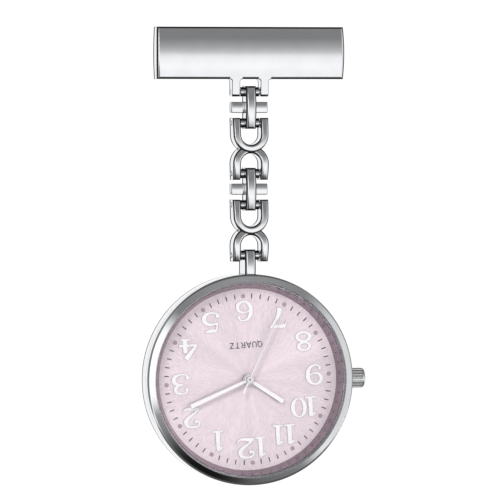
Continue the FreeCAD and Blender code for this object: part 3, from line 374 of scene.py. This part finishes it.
# ---------------------------------------------------------------- stage
def stage_floor():
    """A pale round floor under the hanging watch."""
    radius, drop, hub, rings, spokes = 0.3, 0.035, 0.02, 12, 96
    verts, faces = [], []
    for i in range(rings + 1):
        for j in range(spokes):
            a = math.tau * j / spokes
            r = radius * (hub + (1 - hub) * i / rings)
            verts.append((r * math.cos(a), r * math.sin(a), cad_low.z - drop))
    for i in range(rings):
        inner, outer = i * spokes, (i + 1) * spokes
        for j in range(spokes):
            k = (j + 1) % spokes
            faces.append((inner + j, inner + k, outer + k, outer + j))
    faces.append(tuple(range(spokes)))
    mesh = bpy.data.meshes.new("floor")
    mesh.from_pydata(verts, [], faces)
    floor = bpy.data.objects.new("floor", mesh)
    bpy.context.scene.collection.objects.link(floor)
    look = Look("floor_paper", (0.9, 0.9, 0.9), roughness=0.8)
    mottle = look.spread(look.noise(60, 4), 0, 1)
    look.set("Base Color", look.blend(mottle, (0.9, 0.9, 0.9), (0.87, 0.87, 0.87)))
    mesh.materials.append(look.material)
    floor.visible_glossy = False


# How bright the studio is at each height (the sine of the elevation).
room_heights = [
    (-1.0, 0.1), (-0.7, 0.12), (-0.55, 0.24), (-0.44, 1.0), (-0.21, 1.15),
    (-0.09, 1.05), (-0.04, 0.96), (0.03, 0.62), (0.1, 0.45), (0.184, 0.34),
    (0.254, 0.25), (0.45, 0.25), (0.6, 0.34), (0.75, 0.14), (1.0, 0.1),
]
# Its cards and dark corners: a direction, the angles in degrees where the patch starts and stops
# fading, its brightness, and how many times wider than high it is.
room_patches = [
    ((0.92, 0.39, 0.0), 26, 44, 0.28, 1.8),
    ((0.8, -0.6, 0.0), 10, 32, 0.8, 1.0),
    ((-0.3, -0.88, -0.36), 2, 18, 0.28, 1.0),
    ((-0.53, -0.84, 0.1), 10, 24, 1.35, 1.0),
    ((-1.0, 0.06, 0.0), 44, 54, 0.22, 2.2),
    ((-0.05, 1.0, -0.02), 24, 36, 1.02, 1.0),
    ((-0.08, -0.8, -0.59), 2, 23, 0.01, 1.0),
]


def world_light():
    """White to the lens; for light and reflections a dim studio with white cards."""
    world = bpy.data.worlds.new("studio")
    world.use_nodes = True
    bpy.context.scene.world = world
    tree = world.node_tree

    def node(kind, inputs=None, **settings):
        return add_node(tree, kind, inputs, **settings)

    way = node("ShaderNodeTexCoord").outputs["Generated"]

    def cosine(degrees):
        return math.cos(math.radians(degrees))

    def patch(direction, inner, outer, squat):
        """1 within inner degrees of a direction, fading to 0 at outer degrees."""
        aim = Vector(direction).normalized()
        squash = {0: way, 1: (1, 1, squat)}
        tall = node("ShaderNodeVectorMath", squash, operation="MULTIPLY").outputs[0]
        ray = node("ShaderNodeVectorMath", {0: tall}, operation="NORMALIZE").outputs[0]
        compare = {0: ray, 1: tuple(aim)}
        dot = node("ShaderNodeVectorMath", compare, operation="DOT_PRODUCT").outputs["Value"]
        fade = {"Value": dot, "From Min": cosine(outer), "From Max": cosine(inner)}
        return node("ShaderNodeMapRange", fade, interpolation_type="SMOOTHSTEP").outputs["Result"]

    split = node("ShaderNodeSeparateXYZ", {0: way})
    whole_room = {"Value": split.outputs["Z"], "From Min": -1.0, "From Max": 1.0}
    rise = node("ShaderNodeMapRange", whole_room)
    ramp = node("ShaderNodeValToRGB", {"Fac": rise.outputs["Result"]})
    elements = ramp.color_ramp.elements
    while len(elements) < len(room_heights):
        elements.new(0.5)
    for element, (height, value) in zip(elements, room_heights):
        element.position = (height + 1) / 2
        element.color = (value, value, value, 1)
    shade = ramp.outputs["Color"]
    for direction, inner, outer, value, squat in room_patches:
        mix = node("ShaderNodeMix", {0: patch(direction, inner, outer, squat)}, data_type="RGBA")
        tree.links.new(shade, mix.inputs[6])
        mix.inputs[7].default_value = (value, value, value, 1)
        shade = mix.outputs[2]
    room = tree.nodes["Background"]
    tree.links.new(shade, room.inputs["Color"])
    room.inputs["Strength"].default_value = 1.0
    white = node("ShaderNodeBackground", {"Color": (1, 1, 1, 1), "Strength": 1.05})
    seen = node("ShaderNodeLightPath").outputs["Is Camera Ray"]
    mixed = node("ShaderNodeMixShader", {0: seen, 1: room.outputs[0], 2: white.outputs[0]})
    tree.links.new(mixed.outputs[0], tree.nodes["World Output"].inputs["Surface"])


def area_light(name, place, aim, size, watts):
    data = bpy.data.lights.new(name, "AREA")
    data.shape, data.size, data.energy = "DISK", size, watts
    lamp = bpy.data.objects.new(name, data)
    bpy.context.scene.collection.objects.link(lamp)
    lamp.location = place
    lamp.rotation_mode = "QUATERNION"
    lamp.rotation_quaternion = (Vector(aim) - Vector(place)).to_track_quat("-Z", "Y")
    lamp.visible_glossy = False


def aim_camera():
    """A long lens a little to the left, level with the middle of the chain."""
    azimuth, elevation = math.radians(-13.4), math.radians(1.5)
    across, lens = 83.4 * MM, 400.0
    lift, shift = 1.0, 0.45
    camera_data = bpy.data.cameras.new("camera")
    camera_data.lens, camera_data.sensor_width = lens, 36.0
    camera = bpy.data.objects.new("camera", camera_data)
    bpy.context.scene.collection.objects.link(camera)
    right = Vector((math.cos(azimuth), math.sin(azimuth), 0))
    level = math.cos(elevation)
    back = Vector((math.sin(azimuth) * level, -math.cos(azimuth) * level, math.sin(elevation)))
    target = Vector((0, 0, (cad_low.z + cad_high.z) / 2 + lift * MM)) + right * shift * MM
    camera.location = target + back * across * lens / camera_data.sensor_width
    camera.rotation_mode = "QUATERNION"
    camera.rotation_quaternion = (-back).to_track_quat("-Z", "Y")
    camera_data.clip_start, camera_data.clip_end = 0.01, 20
    bpy.context.scene.camera = camera


stage_floor()
world_light()
lit_point = (0, 0, -0.04)
area_light("key", (-0.4, -0.6, 0.4), lit_point, 0.3, 3.7)
area_light("fill", (0.6, -0.6, 0.0), lit_point, 0.4, 2.0)
area_light("back", (0.1, 0.7, 0.5), lit_point, 0.4, 5.0)
aim_camera()
bpy.context.scene.view_settings.view_transform = "Standard"
